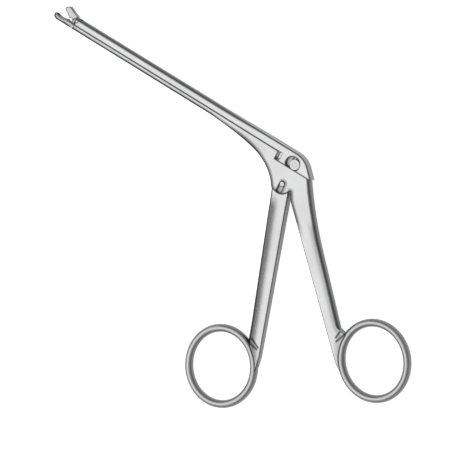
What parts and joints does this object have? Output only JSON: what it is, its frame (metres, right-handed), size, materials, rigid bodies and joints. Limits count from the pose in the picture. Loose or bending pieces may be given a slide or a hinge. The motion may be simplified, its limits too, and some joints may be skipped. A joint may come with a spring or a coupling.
{
  "type": "nasal cutting forceps",
  "caption": "Fenestrated through-cutting nasal forceps with a sliding upper shaft, hinged cutting jaw and oval finger rings.",
  "frame": {"origin": "middle of the footprint, on the flat side that the instrument lies on", "axes": "+X from the jaws towards the grip along the shafts, +Y from the finger rings up to the shafts, +Z out of the flat side that faces up"},
  "size_m": [0.2042, 0.1128, 0.0052],
  "materials": {
    "satin_steel": "satin, glass-bead matt on the flat sides",
    "ring_steel": "satin with a soft polish",
    "jaw_steel": "fine ground",
    "pin_steel": "turned and burnished"
  },
  "bodies": {
    "frame": {"fixed_frame": "satin_steel", "rear_finger_ring": "ring_steel", "jaw_hinge_pin": "pin_steel"},
    "lever": {"front_lever": "satin_steel", "front_finger_ring": "ring_steel", "lever_pivot_pin": "pin_steel", "drive_pin": "pin_steel", "drive_disc_near": "pin_steel", "drive_disc_far": "pin_steel"},
    "slider": {"sliding_shaft": "satin_steel"},
    "jaw": {"upper_jaw": "jaw_steel", "jaw_drive_pin": "pin_steel"}
  },
  "joints": [
    {"name": "lever_hinge", "type": "hinge", "parent": "frame", "child": "lever", "pos_m": [0.01722, 0.03973, 0.0026], "axis": [0, 0, 1], "range_deg": [0, 11]},
    {"name": "shaft_slide", "type": "slide", "parent": "frame", "child": "slider", "axis": [-1, 0, 0], "range_m": [0, 0.00186]},
    {"name": "jaw_hinge", "type": "hinge", "parent": "frame", "child": "jaw", "pos_m": [-0.09271, 0.04968, 0.0026], "axis": [0, 0, 1], "range_deg": [0, 36]}
  ],
  "couplings": [
    {"joint": "shaft_slide", "follows": "lever_hinge", "m_per_rad": 0.0096801},
    {"joint": "jaw_hinge", "follows": "lever_hinge", "ratio": 3.2727}
  ]
}
